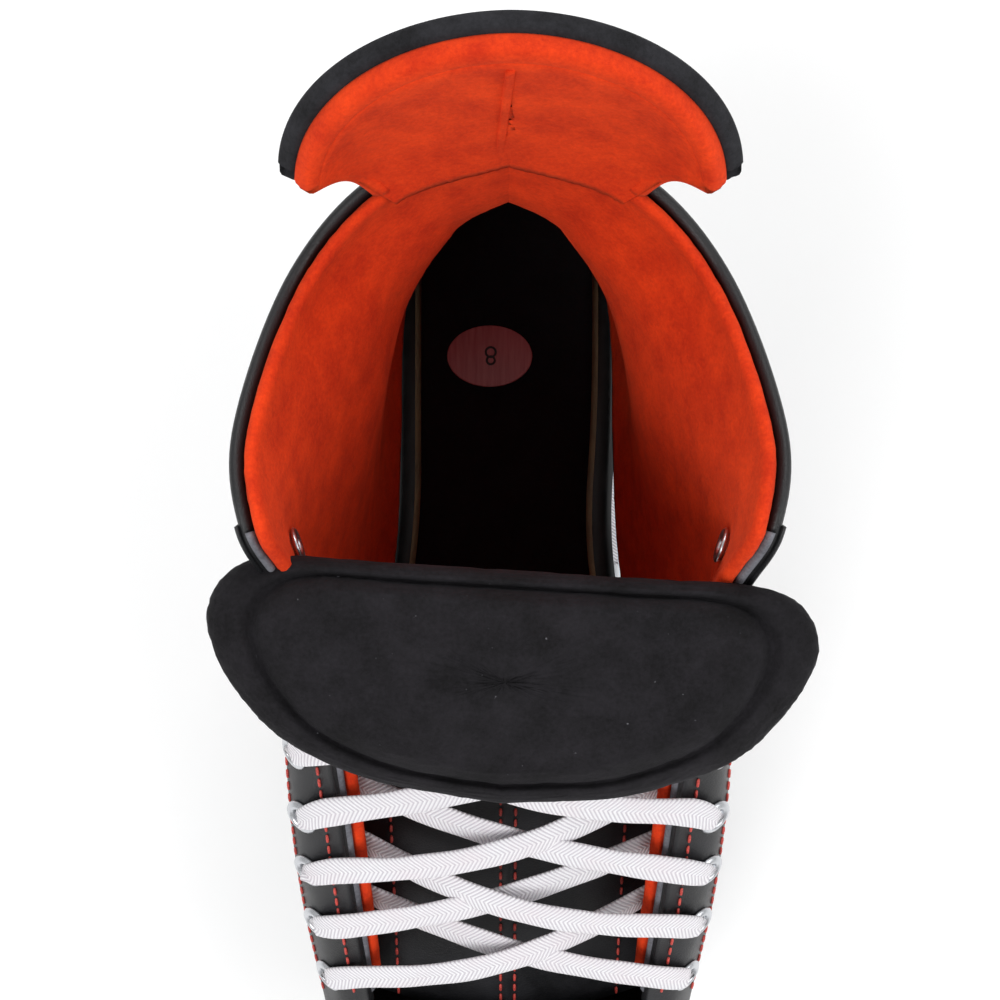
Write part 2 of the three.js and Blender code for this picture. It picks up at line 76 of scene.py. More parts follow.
class Shader:
    def __init__(self, name):
        self.material = bpy.data.materials.new(name)
        self.material.use_nodes = True
        self.tree = self.material.node_tree
        self.surface = self.tree.nodes["Principled BSDF"]

    def add(self, kind, inputs=None, **settings):
        node = self.tree.nodes.new(kind)
        for key, value in settings.items():
            setattr(node, key, value)
        for key, value in (inputs or {}).items():
            self.put(node, key, value)
        return node

    def put(self, node, key, value):
        if isinstance(value, bpy.types.NodeSocket):
            self.tree.links.new(value, node.inputs[key])
        else:
            node.inputs[key].default_value = value

    def coordinates(self, stretch=(1, 1, 1)):
        place = self.add("ShaderNodeTexCoord")
        return self.add("ShaderNodeMapping", {"Vector": place.outputs["Object"], "Scale": stretch}).outputs[0]

    def noise(self, sizeMm, detail=4, roughness=0.6, vector=None):
        inputs = {"Vector": vector or self.coordinates(), "Scale": 1000 / sizeMm, "Detail": detail,
                  "Roughness": roughness}
        return self.add("ShaderNodeTexNoise", inputs).outputs["Fac"]

    def spread(self, value, low, high, start=0.0, end=1.0):
        inputs = {"Value": value, "From Min": low, "From Max": high, "To Min": start, "To Max": end}
        return self.add("ShaderNodeMapRange", inputs).outputs[0]

    def blend(self, amount, first, second):
        node = self.add("ShaderNodeMix", data_type="RGBA")
        self.put(node, 0, amount)
        self.put(node, 6, first)
        self.put(node, 7, second)
        return node.outputs[2]

    def bump(self, height, strength, distanceMm, normal=None):
        inputs = {"Height": height, "Strength": strength, "Distance": distanceMm * mm}
        if normal:
            inputs["Normal"] = normal
        return self.add("ShaderNodeBump", inputs).outputs[0]

    def finish(self, **values):
        for key, value in values.items():
            self.put(self.surface, key.replace("_", " "), value)
        return self.material


# Felt: short matted fibres in two sizes give a cloudy colour and a soft edge of sheen.
def feltMaterial(name, dark, light, tint, lint=0.0, sheen=0.05):
    shader = Shader(name)
    fibres = shader.noise(0.9, 8, 0.75)
    patches = shader.noise(9, 3)
    mixed = shader.spread(shader.add("ShaderNodeMath", {0: fibres, 1: patches}, operation="ADD").outputs[0], 0.75, 1.3)
    colour = shader.blend(mixed, srgb(dark), srgb(light))
    if lint:
        specks = shader.spread(shader.noise(1.6, 2, 0.5), 0.76, 0.8, 0, lint)
        colour = shader.blend(specks, colour, srgb("#8A8A90"))
    rough = shader.bump(fibres, 0.55, 0.35)
    shader.put(shader.surface, "Sheen Tint", srgb(tint))
    return shader.finish(Base_Color=colour, Roughness=0.95, Normal=shader.bump(patches, 0.3, 0.8, rough),
                         Sheen_Weight=sheen, Sheen_Roughness=0.5, Specular_IOR_Level=0.25)


# Coated leather: cell grain of about a millimetre under a satin coat, lighter where it is rubbed.
def leatherMaterial(name, dark, light, cellMm=1.1, gloss=0.42):
    shader = Shader(name)
    cells = shader.add("ShaderNodeTexVoronoi", {"Vector": shader.coordinates(), "Scale": 1000 / cellMm},
                       feature="DISTANCE_TO_EDGE").outputs["Distance"]
    wear = shader.noise(14, 5)
    colour = shader.blend(shader.spread(wear, 0.35, 0.75), srgb(dark), srgb(light))
    grain = shader.bump(shader.spread(cells, 0, 0.12), 0.35, 0.12)
    return shader.finish(Base_Color=colour, Roughness=shader.spread(wear, 0.3, 0.7, gloss, gloss + 0.18),
                         Normal=shader.bump(shader.noise(5, 3), 0.15, 0.4, grain))


# Moulded plastic: nearly even colour with a faint orange-peel and handling scuffs in the roughness.
def plasticMaterial(name, code, gloss):
    shader = Shader(name)
    scuffs = shader.noise(6, 6, 0.7)
    colour = shader.blend(shader.spread(scuffs, 0.45, 0.85, 0, 0.06), srgb(code), srgb("#77777B"))
    return shader.finish(Base_Color=colour, Roughness=shader.spread(scuffs, 0.35, 0.75, gloss, gloss + 0.2),
                         Normal=shader.bump(shader.noise(1.5, 2), 0.06, 0.1))


# Ground steel: fine lines along the blade, with small changes of roughness between them.
def steelMaterial(name, code, stretch=(1, 0.04, 1), rough=0.28):
    shader = Shader(name)
    lines = shader.noise(0.25, 3, 0.6, shader.coordinates(stretch))
    return shader.finish(Base_Color=srgb(code), Metallic=1.0, Roughness=shader.spread(lines, 0.3, 0.7, rough, rough + 0.2),
                         Normal=shader.bump(lines, 0.12, 0.05))


# Flat cotton braid: a herringbone of 1 mm yarns along the lace's own uv, with painted shade between the yarns, fibre
# fuzz and patches of painted pink bounce light.
def laceMaterial(name):
    shader = Shader(name)
    uv = shader.add("ShaderNodeUVMap").outputs[0]
    parts = shader.add("ShaderNodeSeparateXYZ", {0: uv})
    fold = shader.add("ShaderNodeMath", {0: parts.outputs[1], 1: 0.5}, operation="SUBTRACT").outputs[0]
    slant = shader.add("ShaderNodeMath", {0: fold}, operation="ABSOLUTE").outputs[0]
    lean = shader.add("ShaderNodeMath", {0: slant, 1: 5.0}, operation="MULTIPLY").outputs[0]
    run = shader.add("ShaderNodeMath", {0: parts.outputs[0], 1: 1000 / 1.1}, operation="MULTIPLY").outputs[0]
    phase = shader.add("ShaderNodeMath", {0: run, 1: lean}, operation="ADD").outputs[0]
    turn = shader.add("ShaderNodeMath", {0: phase, 1: 2 * math.pi}, operation="MULTIPLY").outputs[0]
    rows = shader.add("ShaderNodeMath", {0: turn}, operation="SINE").outputs[0]
    fuzz = shader.noise(0.5, 5, 0.7)
    # Noise patches tint the white lace pink: painted bounce light.
    pinkBounce = shader.noise(11, 3)
    # The darker bands between the yarns are painted shade in the weave's grooves.
    grooveShade = shader.blend(shader.spread(rows, -1, 0.3), srgb("#C9C4CC"), srgb("#F2F1F4"))
    colour = shader.blend(shader.spread(pinkBounce, 0.45, 0.8, 0, 0.3), grooveShade, srgb("#E4CFD6"))
    weave = shader.bump(rows, 0.5, 0.25)
    return shader.finish(Base_Color=colour, Roughness=0.9, Normal=shader.bump(fuzz, 0.4, 0.2, weave),
                         Sheen_Weight=0.3)


# Twisted sewing thread: tight diagonal twist lines and a little shine.
def threadMaterial(name, code):
    shader = Shader(name)
    twist = shader.noise(0.35, 2)
    colour = shader.blend(shader.spread(twist, 0.3, 0.7), srgb(code), srgb("#8E2E28"))
    return shader.finish(Base_Color=colour, Roughness=0.6, Normal=shader.bump(twist, 0.4, 0.1))


# Printed film label: even ink with a faint painted sheen in lighter streaks across it.
def labelMaterial(name, code):
    shader = Shader(name)
    sheenStreaks = shader.noise(1.2, 3, 0.6, shader.coordinates((1, 0.08, 1)))
    # The lighter streaks in the colour are painted sheen on the film.
    colour = shader.blend(shader.spread(sheenStreaks, 0.3, 0.75), srgb(code), srgb("#B0686B"))
    return shader.finish(Base_Color=colour, Roughness=0.45)


felt = feltMaterial("black_needled_felt", "#0C0B0D", "#211F23", "#6A6870", lint=0.45)
footFelt = feltMaterial("footbed_brushed_knit", "#08080A", "#131216", "#44444C")
orangeFelt = feltMaterial("orange_needled_felt", "#C02A0A", "#EE4412", "#FF8A50", sheen=0.12)
rimFelt = feltMaterial("black_binding_felt", "#161618", "#2E2E32", "#77777F")
greyFelt = feltMaterial("grey_core_felt", "#55555B", "#85858C", "#AAAAB0")
leather = leatherMaterial("coated_black_leather", "#0D0D0F", "#1B1B1E")
tongueLeather = leatherMaterial("smooth_tongue_leather", "#101012", "#212125", cellMm=0.8, gloss=0.36)
blackPlastic = plasticMaterial("moulded_black_nylon", "#101012", 0.32)
whitePlastic = plasticMaterial("moulded_white_nylon", "#E8E9EC", 0.28)
steel = steelMaterial("ground_stainless_steel", "#C9CCD1")
turnedSteel = steelMaterial("nickel_plated_steel", "#C4C6CA", (1, 1, 1), 0.22)
laceCotton = laceMaterial("braided_cotton_lace")
thread = threadMaterial("twisted_red_thread", "#E4544A")
labelFilm = labelMaterial("printed_film_label", "#9A5053")
inkBlack = plasticMaterial("printed_black_ink", "#151214", 0.5)
copper = steelMaterial("copper_plated_rivet", "#C58A5A", (1, 1, 1), 0.3)
fibreBoard = leatherMaterial("pressed_fibre_board", "#7A5F40", "#96764F", 2.5, 0.7)
print("materials made")


# Mesh tools

def finishPiece(name, points, faces, material, body, replaced=(), uv=None, soft=True):
    mesh = bpy.data.meshes.new(name)
    mesh.from_pydata((np.asarray(points) * mm).tolist(), [], faces)
    mesh.validate()
    if uv is not None:
        layer = mesh.uv_layers.new(name="UVMap")
        corners = np.zeros(len(mesh.loops), dtype=np.int32)
        mesh.loops.foreach_get("vertex_index", corners)
        layer.data.foreach_set("uv", np.asarray(uv, dtype=np.float32)[corners].ravel())
    mesh.polygons.foreach_set("use_smooth", np.full(len(mesh.polygons), soft))
    mesh.materials.append(material)
    piece = bpy.data.objects.new(name, mesh)
    bpy.context.scene.collection.objects.link(piece)
    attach(piece, body)
    if replaced:
        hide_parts(*replaced)
    return piece


# Faces of rings joined one to the next.
def ringFaces(count, size, start=0):
    i = np.arange(count - 1)[:, None] * size + start
    j = np.arange(size)[None, :]
    k = (j + 1) % size
    quads = np.stack([i + j, i + k, i + k + size, i + j + size], axis=-1).reshape(-1, 4)
    return quads


# rings: (n, m, 3); returns points and faces facing outward.
def tubeMesh(rings, closed=False):
    rings = np.asarray(rings, dtype=float)
    count, size = rings.shape[:2]
    points = rings.reshape(-1, 3)
    quads = ringFaces(count, size)
    if closed:
        j = np.arange(size)
        k = (j + 1) % size
        last = (count - 1) * size
        quads = np.vstack([quads, np.stack([last + j, last + k, k, j], axis=-1)])
        faces = [tuple(q) for q in quads.tolist()]
    else:
        first, end = rings[0].mean(0), rings[-1].mean(0)
        points = np.vstack([points, first, end])
        j = np.arange(size)
        k = (j + 1) % size
        capA = np.stack([k, j, np.full(size, count * size)], axis=-1)
        last = (count - 1) * size
        capB = np.stack([last + j, last + k, np.full(size, count * size + 1)], axis=-1)
        faces = [tuple(q) for q in quads.tolist()] + [tuple(q) for q in np.vstack([capA, capB]).tolist()]
    a = np.array([points[f[0]] for f in faces])
    b = np.array([points[f[1]] for f in faces])
    c = np.array([points[f[2]] for f in faces])
    volume = np.einsum("ij,ij->i", a, np.cross(b, c)).sum()
    if volume < 0:
        faces = [tuple(reversed(f)) for f in faces]
    return points, faces


def smoothStep(x, low, high):
    t = np.clip((np.asarray(x, dtype=float) - low) / (high - low), 0, 1)
    return t * t * (3 - 2 * t)


def lerp(a, b, t):
    return a + (b - a) * t


# Cubic weights of the control points for places t from 0 to 1 along a smooth curve through all of them.
def splineWeights(t, count):
    t = np.asarray(t, dtype=float) * (count - 1)
    i = np.clip(np.floor(t).astype(int), 0, count - 2)
    f = (t - i)[..., None]
    w = np.concatenate([-0.5 * f + f**2 - 0.5 * f**3, 1 - 2.5 * f**2 + 1.5 * f**3,
                        0.5 * f + 2 * f**2 - 1.5 * f**3, -0.5 * f**2 + 0.5 * f**3], axis=-1)
    out = np.zeros(t.shape + (count + 2,))
    for k in range(4):
        np.put_along_axis(out, (i + k)[..., None], w[..., k:k + 1], axis=-1)
    out[..., 1] += 2 * out[..., 0]
    out[..., 2] -= out[..., 0]
    out[..., count] += 2 * out[..., count + 1]
    out[..., count - 1] -= out[..., count + 1]
    return out[..., 1:count + 1]


def curvePoints(controls, t):
    controls = np.asarray(controls, dtype=float)
    return splineWeights(t, len(controls)) @ controls


# The boot's outer shell: five curves from the sole to the top edge, each from the toe joint to the back centre.
shellLevels = np.array([
    [[45, -96, 73], [50, -62, 73], [45, -32, 74], [40, -4, 75], [37, 16, 76], [35, 34, 77], [34, 60, 78],
     [33, 98, 79], [25, 130, 79], [0, 144, 79]],
    [[49, -97, 92], [54, -62, 98], [51, -32, 100], [46, -4, 102], [43, 16, 102], [41, 34, 102], [40, 60, 102],
     [38, 98, 102], [28, 134, 102], [0, 151, 102]],
    [[48, -96, 107], [54, -62, 120], [54, -32, 134], [51, -4, 142], [48, 16, 146], [46, 32, 148], [43, 58, 148],
     [38, 94, 146], [24, 122, 146], [0, 137, 146]],
    [[43, -95, 117], [49, -62, 137], [51, -32, 157], [51, -2, 172], [51, 20, 186], [52, 34, 196], [50, 58, 186],
     [42, 90, 180], [24, 110, 180], [0, 119, 180]],
    [[36, -92, 121], [39, -60, 145], [41, -28, 168], [43, -3, 188], [48, 16, 208], [53, 29, 224], [55, 50, 220],
     [46, 84, 206], [27, 104, 210], [0, 112, 214]]], dtype=float)


def shellPoint(u, v):
    u, v = np.broadcast_arrays(np.asarray(u, dtype=float), np.asarray(v, dtype=float))
    return np.einsum("...j,...i,jik->...k", splineWeights(v, 5), splineWeights(u, 10), shellLevels)


def unit(a):
    return a / np.maximum(np.linalg.norm(a, axis=-1, keepdims=True), 1e-12)


def shellNormal(u, v):
    step = 0.004
    u, v = np.broadcast_arrays(np.asarray(u, dtype=float), np.asarray(v, dtype=float))
    along = shellPoint(np.minimum(u + step, 1), v) - shellPoint(np.maximum(u - step, 0), v)
    up = shellPoint(u, v + step) - shellPoint(u, v - step)
    return unit(np.cross(along, up))


def shellAt(side, u, v, depth=0.0):
    p = shellPoint(u, v) - shellNormal(u, v) * np.asarray(depth, dtype=float)[..., None]
    return p * np.array([side, 1, 1])


def sided(vector, side):
    return vector * np.array([side, 1, 1])


# Distance from the shell's top edge, turned into v, for each place u.
edgeTable = np.linspace(1.0, 0.3, 141)


def vInside(u, distance):
    u = np.asarray(u, dtype=float)
    lines = shellPoint(u[..., None], edgeTable)
    steps = np.linalg.norm(np.diff(lines, axis=-2), axis=-1)
    runs = np.concatenate([np.zeros(u.shape + (1,)), np.cumsum(steps, axis=-1)], axis=-1)
    flat = [np.interp(distance, r, edgeTable) for r in runs.reshape(-1, len(edgeTable))]
    return np.array(flat).reshape(u.shape)


# Closed layer on the shell: outer and inner depth along v, joined by a round rim at the top.
def shellLayer(side, us, vLow, vHigh, outer, inner, rows=44, rim=7, lift=0.02):
    us = np.asarray(us, dtype=float)
    t = np.linspace(0, 1, rows)
    low = np.broadcast_to(vLow, us.shape)[:, None]
    high = np.broadcast_to(vHigh, us.shape)[:, None]
    vs = low + (high - low) * t
    arc = np.linspace(0, math.pi, rim + 2)[1:-1]
    depthOut = outer(us[:, None], vs)
    depthIn = inner(us[:, None], vs)
    mid = (depthOut[:, -1:] + depthIn[:, -1:]) / 2
    half = (depthIn[:, -1:] - depthOut[:, -1:]) / 2
    rimV = high + lift * np.sin(arc)
    rimDepth = mid - half * np.cos(arc)
    allV = np.concatenate([vs, rimV, vs[:, ::-1]], axis=1)
    allDepth = np.concatenate([depthOut, rimDepth, depthIn[:, ::-1]], axis=1)
    allU = np.broadcast_to(us[:, None], allV.shape)
    return shellAt(side, allU, allV, allDepth)


def constant(value):
    return lambda u, v: np.full(np.broadcast(u, v).shape, float(value))


# The lace ends first: out of the third eyelets, down the boot's sides and into a flat hank by the runner.
laceSet = {"width": 8.0, "thickness": 1.6, "count": 8, "inset": 11.0, "hankPlace": 26, "hankTurn": 12,
           "hankRun": 60, "freeLength": 0.51}

facingU = np.linspace(0.02, 0.53, 201)
facingRun = np.concatenate([[0], np.cumsum(np.linalg.norm(np.diff(shellPoint(facingU, 1.0), axis=0), axis=1))])
seatShare = 0.05 + 0.9 * np.arange(laceSet["count"]) / (laceSet["count"] - 1)
seatU = np.interp(facingRun[-1] * seatShare, facingRun, facingU)
seatV = vInside(seatU, laceSet["inset"])
seatPlace = shellPoint(seatU, seatV)
seatNormal = shellNormal(seatU, seatV)


def evenPath(points, stepMm):
    points = np.asarray(points, dtype=float)
    run = np.concatenate([[0], np.cumsum(np.linalg.norm(np.diff(points, axis=0), axis=1))])
    wanted = np.linspace(0, run[-1], max(int(run[-1] / stepMm), 2) + 1)
    return np.stack([np.interp(wanted, run, points[:, k]) for k in range(3)], axis=1), wanted, run


def ribbonRings(path, ups, width, thickness, corners=16):
    ahead = unit(np.gradient(path, axis=0))
    across = unit(np.cross(ahead, ups))
    thin = np.cross(across, ahead)
    turn = np.linspace(0, 2 * math.pi, corners, endpoint=False)
    wide = np.sign(np.cos(turn)) * np.abs(np.cos(turn)) ** 0.55
    high = np.sign(np.sin(turn)) * np.abs(np.sin(turn)) ** 0.8
    width = np.broadcast_to(width, len(path))[:, None, None]
    return (path[:, None] + across[:, None] * wide[None, :, None] * width / 2
            + thin[:, None] * high[None, :, None] * thickness / 2), wide


def ribbonPiece(name, path, ups, width, body, replaced, material=laceCotton, thickness=1.6):
    rings, wide = ribbonRings(path, ups, width, thickness)
    points, faces = tubeMesh(rings)
    run = np.concatenate([[0], np.cumsum(np.linalg.norm(np.diff(path, axis=0), axis=1))]) * mm
    uv = np.stack([np.repeat(run, len(wide)), np.tile(wide / 2 + 0.5, len(run))], axis=1)
    uv = np.vstack([uv, [run[0], 0.5], [run[-1], 0.5]])
    return finishPiece(name, points, faces, material, body, replaced, uv)


def laceEndRoute(side, s):
    seat = seatPlace[-3]
    drop = [[seat[0] + 6, seat[1] + 2, seat[2] - 3], [56.5, seat[1] + 5, 170], [56.5, 22, 145], [56.5, 26, 110],
            [57, 29, 70], [56, 31, 34], [54.5, 32, 15], [50, 31, 5], [44, 27, 2.2], [39, 18, 1.4]]
    outer = s["hankPlace"] + s["hankTurn"]
    inner = s["hankPlace"] - s["hankTurn"]
    ys = np.linspace(8, -s["hankRun"], 9)
    points = list(drop) + [[outer, y, 1.2] for y in ys]
    for turn in np.linspace(0, math.pi, 9)[1:-1]:
        points.append([s["hankPlace"] + s["hankTurn"] * math.cos(turn),
                       -s["hankRun"] - s["hankTurn"] * math.sin(turn), 1.2])
    points += [[inner, y, 1.3] for y in np.linspace(-s["hankRun"], s["hankRun"], 12)]
    for turn in np.linspace(0, math.pi, 9)[1:-1]:
        points.append([s["hankPlace"] - s["hankTurn"] * math.cos(turn),
                       s["hankRun"] + s["hankTurn"] * math.sin(turn), 1.6 + 0.8 * turn / math.pi])
    points += [[outer, y, z] for y, z in ((60, 2.6), (50, 3.2), (40, 3.8), (32, 4.4), (25, 5.2))]
    fine = curvePoints(points, np.linspace(0, 1, 900))
    path, _, _ = evenPath(fine, 2.0)
    lying = 1 - smoothStep(path[:, 2], 5, 40)
    ups = np.stack([1 - 0.95 * lying, np.zeros(len(path)), lying], axis=1)
    return path * np.array([side, 1, 1]), unit(ups * np.array([side, 1, 1]))


def makeAglet(side, name):
    low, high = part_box(f"{name}_lace_aglet")
    low, high = np.array(low) / mm, np.array(high) / mm
    middle = (low + high) / 2
    radius = (high[0] - low[0]) / 2
    ts = np.array([0, 0.01, 0.04, 0.2, 0.5, 0.8, 0.95, 0.99, 1])
    radii = radius * np.array([0.75, 0.92, 1, 0.97, 0.94, 0.97, 1, 0.92, 0.7])
    turn = np.linspace(0, 2 * math.pi, 24, endpoint=False)
    rings = [[[middle[0] + r * math.cos(a), lerp(low[1], high[1], t), middle[2] + r * math.sin(a)] for a in turn]
             for t, r in zip(ts, radii)]
    points, faces = tubeMesh(rings)
    return finishPiece(f"{name}_aglet_tube", points, faces, whitePlastic, "boot",
                       [f"{name}_lace_aglet"])


for side, name in ((1, "medial"), (-1, "lateral")):
    path, ups = laceEndRoute(side, laceSet)
    cordPiece = ribbonPiece(f"{name}_free_lace", path, ups, laceSet["width"], "boot",
                            [f"{name}_lace_end", f"{name}_lace_hank"])
    aglet = makeAglet(side, name)
    length = np.linalg.norm(np.diff(path, axis=0), axis=1).sum() * mm
    print(f"{name} free lace {length:.3f} m")
print("lace ends made")


# Outer quarters with the facing strip over them.
quarterSet = {"wall": 3.0, "back": 0.9995, "strip": 21.0, "stripLift": 0.8}


def makeQuarter(side, name, s):
    us = np.linspace(0, s["back"], 110)
    rings = shellLayer(side, us, 0.0, 1.0, constant(0), constant(s["wall"]))
    points, faces = tubeMesh(rings)
    finishPiece(f"{name}_outer_quarter", points, faces, leather, "boot", [f"{name}_quarter"])
    stripU = np.linspace(0.004, 0.56, 90)
    low = vInside(stripU, s["strip"])
    rings = shellLayer(side, stripU, low, 1.0, lambda u, v: np.full(np.broadcast(u, v).shape, -s["stripLift"]),
                       constant(0.6), rows=20)
    points, faces = tubeMesh(rings)
    finishPiece(f"{name}_facing_strip", points, faces, tongueLeather, "boot")


def padDepth(u, v):
    along = smoothStep(u, 0.5, 0.86) * (1 - 0.35 * smoothStep(u, 0.85, 1))
    up = smoothStep(v, 0.22, 0.6) * (1 - smoothStep(v, 0.68, 1))
    return 11 * along * up


def makeLiner(side, name):
    us = np.linspace(0.02, 1.0, 120)
    edge = 1.0 + 0.022 * (1 - smoothStep(us, 0.5, 0.62)) + 0.006
    outer = lambda u, v: 3.4 + padDepth(u, v)
    inner = lambda u, v: 6.4 + padDepth(u, v)
    rings = shellLayer(side, us, 0.1, edge, outer, inner, rows=60)
    points, faces = tubeMesh(rings)
    wobble = rng.normal(0, 1, (len(points), 3)) * 0.05
    finishPiece(f"{name}_felt_liner", points + wobble, faces, orangeFelt, "boot",
                [f"{name}_liner", f"{name}_ankle_foam"])


# Grey core of the felt shows as a thin layer between the facing strip and the orange liner.
def makeFacingCore(side, name):
    us = np.linspace(0.01, 0.55, 80)
    rings = shellLayer(side, us, 0.94, 1.012, constant(1.2), constant(3.2), rows=6)
    points, faces = tubeMesh(rings)
    finishPiece(f"{name}_facing_core", points, faces, greyFelt, "boot")


for side, name in ((1, "medial"), (-1, "lateral")):
    makeQuarter(side, name, quarterSet)
    makeLiner(side, name)
    makeFacingCore(side, name)
print("quarters and liners made")


# Stitches: short rounded capsules laid end to end along a line on a surface, just proud of it.
def makeStitches(name, lines, body, material=thread, length=2.6, gap=1.0, radius=0.42):
    sides = 6
    turn = np.linspace(0, 2 * math.pi, sides, endpoint=False)
    allPoints, allFaces, start = [], [], 0
    shape = np.array([[0.0, 0.25], [0.12, 0.85], [0.5, 1.0], [0.88, 0.85], [1.0, 0.25]])
    quads = ringFaces(len(shape), sides)
    for path, normals in lines:
        run = np.concatenate([[0], np.cumsum(np.linalg.norm(np.diff(path, axis=0), axis=1))])
        for at in np.arange(0.5, run[-1] - length, length + gap):
            ends = [np.array([np.interp(x, run, path[:, k]) for k in range(3)]) for x in (at, at + length)]
            n = unit(np.array([np.interp(at + length / 2, run, normals[:, k]) for k in range(3)]))
            ahead = unit(ends[1] - ends[0])
            across = unit(np.cross(ahead, n))
            centre = ends[0] + (ends[1] - ends[0]) * shape[:, :1] + n * radius * 0.5
            rings = centre[:, None] + shape[:, 1, None, None] * radius * (
                across * np.cos(turn)[None, :, None] + n * np.sin(turn)[None, :, None])
            points = np.vstack([rings.reshape(-1, 3), centre[0], centre[-1]])
            j = np.arange(sides)
            k = (j + 1) % sides
            last = (len(shape) - 1) * sides
            caps = [(a, b, last + sides) for a, b in zip(k, j)] + [(last + a, last + b, last + sides + 1)
                                                                  for a, b in zip(j, k)]
            allFaces += [tuple(start + x for x in q) for q in quads.tolist()]
            allFaces += [tuple(int(start + x) for x in q) for q in caps]
            allPoints.append(points)
            start += len(points)
    finishPiece(name, np.vstack(allPoints), allFaces, material, body)


def shellLine(side, us, vs, lift):
    return shellAt(side, us, vs, np.full(len(us), -lift)), sided(shellNormal(us, vs), side)


stitchLines = []
for side in (1, -1):
    facing = np.linspace(0.02, 0.545, 160)
    collar = np.linspace(0.57, 0.985, 200)
    stitchLines.append(shellLine(side, facing, vInside(facing, 3.5), 0.8))
    stitchLines.append(shellLine(side, facing, vInside(facing, 17.5), 0.8))
    stitchLines.append(shellLine(side, collar, vInside(collar, 4.0), 0.0))
makeStitches("quarter_stitches", stitchLines, "boot")
print("stitches made")


# Eyelets: a rolled steel flange outside, a barrel through the layers and a smaller flange inside.
eyeletSet = {"bore": 2.1, "barrel": 2.9, "flange": 4.6, "top": 1.0, "depth": 7.4}


def makeEyelets(s):
    # The section runs up the bore, over the rolled flange and back down the barrel to the inner flange.
    roll = [[s["bore"] + 0.2, s["top"] + 0.5], [s["bore"] + 0.8, s["top"] + 0.95], [s["flange"] - 1.0, s["top"] + 0.9],
            [s["flange"] - 0.2, s["top"] + 0.45], [s["flange"], s["top"]], [s["flange"] - 0.3, s["top"] - 0.25],
            [s["barrel"], s["top"] - 0.2]]
    inside = [[s["barrel"], -s["depth"] + 0.5], [s["flange"] - 1.1, -s["depth"] + 0.4], [s["flange"] - 0.7, -s["depth"] - 0.1],
              [s["flange"] - 1.2, -s["depth"] - 0.6], [s["bore"] + 0.4, -s["depth"] - 0.5], [s["bore"], -s["depth"]]]
    section = np.array(roll + inside)
    turn = np.linspace(0, 2 * math.pi, 28, endpoint=False)
    points, faces, start, nodes = [], [], 0, []
    for side, name in ((1, "medial"), (-1, "lateral")):
        for k in range(len(seatU)):
            n = sided(seatNormal[k], side)
            a = unit(np.cross(n, [0, 0, 1.0]))
            b = np.cross(n, a)
            centre = sided(seatPlace[k], side)
            rings = [centre + n * section[:, 1:] + (a * math.cos(t) + b * math.sin(t)) * section[:, :1] for t in turn]
            p, f = tubeMesh(rings, closed=True)
            points.append(p)
            faces += [tuple(start + x for x in q) for q in f]
            start += len(p)
            nodes.append(f"{name}_eyelet_{k + 1}")
    finishPiece("rolled_eyelets", np.vstack(points), faces, turnedSteel, "boot", nodes)


makeEyelets(eyeletSet)
print("eyelets made")


# The laced part: each half leaves an eyelet, crosses over, goes under the far facing and out of the next eyelet.
def makeLace(name, startSide, lift, replaced):
    route, ups, widths = [], [], []

    def add(point, up, width):
        route.append(np.asarray(point, dtype=float))
        ups.append(unit(np.asarray(up, dtype=float)))
        widths.append(width)

    middleUp = np.array([0, -0.62, 0.78])
    last = len(seatU) - 3
    for k in range(last + 1):
        side = startSide if k % 2 == 0 else -startSide
        u, v = seatU[k], seatV[k]
        n = sided(seatNormal[k], side)
        edge = sided(shellPoint(u, 1.0), side)
        edgeUp = sided(shellNormal(u, 0.98), side)
        place = sided(seatPlace[k], side)
        if k > 0:
            add(edge - edgeUp * 8.2, edgeUp, 7.6)
            add(lerp(edge, place, 0.55) - n * 8.8, n, 6.0)
            add(place - n * 6.0, sided(np.array([0.3, 0.5, 0.6]), side), 3.6)
        add(place + n * 1.2, sided(np.array([-0.3, 0.2, 0.9]), side), 3.6)
        if k == last:
            add(place + n * 3.0 + sided(np.array([2.5, 1.0, -1.5]), side), n, 5.0)
            continue
        add(lerp(place, edge, 0.3) + n * 3.0, n, 6.2)
        add(edge + edgeUp * 2.6, edgeUp, 8.0)
        nextEdge = sided(shellPoint(seatU[k + 1], 1.0), -side)
        nextUp = sided(shellNormal(seatU[k + 1], 0.98), -side)
        goal = nextEdge - nextUp * 8.2
        start = edge + edgeUp * 2.6
        for t in (0.2, 0.4, 0.6, 0.8):
            p = lerp(start, goal, t) + middleUp * (lift * math.sin(math.pi * t) + 4.5 * math.sin(math.pi * t))
            add(p, middleUp, 8.0)
    count = len(route) * 9
    t = np.linspace(0, 1, count)
    fine = curvePoints(route, t)
    path, wanted, run = evenPath(fine, 1.4)
    at = np.interp(wanted, run, t) * (len(route) - 1)
    knots = np.arange(len(route))
    upPath = unit(np.stack([np.interp(at, knots, np.array(ups)[:, k]) for k in range(3)], axis=1))
    widthPath = np.interp(at, knots, widths) * (1 + 0.03 * np.sin(wanted * 0.35))
    ribbonPiece(name, path, upPath, widthPath, "boot", replaced)


makeLace("cotton_lace_first", 1, 0.0, ["lace_first_half"])
makeLace("cotton_lace_second", -1, 3.4, ["lace_second_half"])
print("laces made")


# Tongue under the laces: smooth leather with a raised centre seam and side stitching.
tongueSpine = np.array([[0, -97, 108], [0, -60, 131], [0, -28, 153], [0, -3, 173], [0, 6, 190], [0, 12, 206]], dtype=float)


